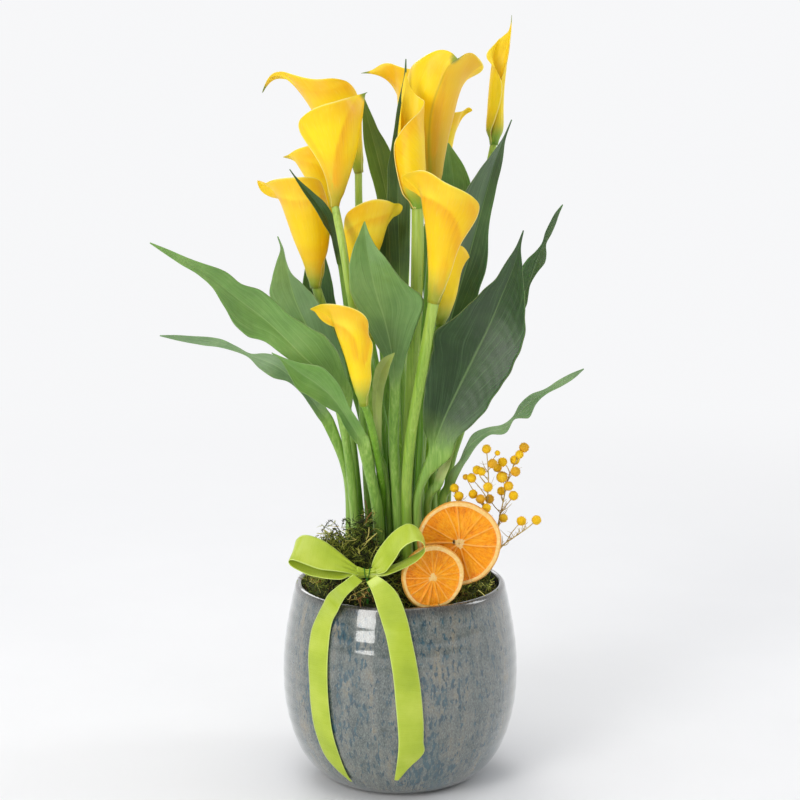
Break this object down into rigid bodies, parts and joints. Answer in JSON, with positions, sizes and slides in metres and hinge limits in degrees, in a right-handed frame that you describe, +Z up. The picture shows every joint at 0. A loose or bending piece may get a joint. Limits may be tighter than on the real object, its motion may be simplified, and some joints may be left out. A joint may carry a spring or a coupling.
{
  "type": "potted calla lily arrangement",
  "caption": "Potted calla lily with yellow funnel flowers and broad leaves in a round-bellied glazed pot, with moss, a satin bow, dried orange slices and dried ball flowers.",
  "frame": {"origin": "centre of the pot's flat foot, on the surface it stands on", "axes": "+Z up along the pot's axis, -Y towards the front with the bow, +X to the right seen from the front"},
  "size_m": [0.3125, 0.2189, 0.5741],
  "materials": {
    "glaze": "glossy reactive glaze, grey-taupe with teal specks",
    "soil": "matt potting soil",
    "moss": "matt dried moss",
    "ribbon": "glossy lime-green satin",
    "wire": "green lacquered wire",
    "orange_fruit": "dried orange flesh with a pale rind",
    "dried_flower": "matt dried ball flowers",
    "spathe": "satin waxy petal, green at the base",
    "scape": "satin waxy stem",
    "leaf": "satin green leaf",
    "young_leaf": "satin pale young leaf"
  },
  "bodies": {
    "root": {"pot": "glaze", "potting_soil": "soil", "moss": "moss", "ribbon_bow": "ribbon", "ribbon_tail_left": "ribbon", "ribbon_tail_right": "ribbon", "bow_wire": "wire", "orange_slice_large": "orange_fruit", "orange_slice_small": "orange_fruit", "dried_sprig_1": "dried_flower", "dried_sprig_2": "dried_flower", "dried_sprig_3": "dried_flower", "dried_sprig_4": "dried_flower", "flower_01_spathe": "spathe", "flower_01_scape": "scape", "flower_02_spathe": "spathe", "flower_02_scape": "scape", "flower_03_spathe": "spathe", "flower_03_scape": "scape", "flower_04_spathe": "spathe", "flower_04_scape": "scape", "flower_05_spathe": "spathe", "flower_05_scape": "scape", "flower_06_spathe": "spathe", "flower_06_scape": "scape", "flower_07_spathe": "spathe", "flower_07_scape": "scape", "flower_08_spathe": "spathe", "flower_08_scape": "scape", "flower_09_spathe": "spathe", "flower_09_scape": "scape", "flower_10_spathe": "spathe", "flower_10_scape": "scape", "flower_11_spathe": "spathe", "flower_11_scape": "scape", "flower_12_spathe": "spathe", "flower_12_scape": "scape", "flower_13_spathe": "spathe", "flower_13_scape": "scape", "flower_14_spathe": "spathe", "flower_14_scape": "scape", "leaf_01": "leaf", "leaf_02": "leaf", "leaf_03": "leaf", "leaf_04": "leaf", "leaf_05": "leaf", "leaf_06": "leaf", "leaf_07": "leaf", "leaf_08": "leaf", "leaf_09": "leaf", "leaf_10": "leaf", "leaf_11": "leaf", "leaf_12": "leaf", "leaf_13": "leaf", "leaf_14": "leaf", "leaf_15": "leaf", "leaf_16": "young_leaf", "leaf_17": "leaf"}
  },
  "joints": []
}
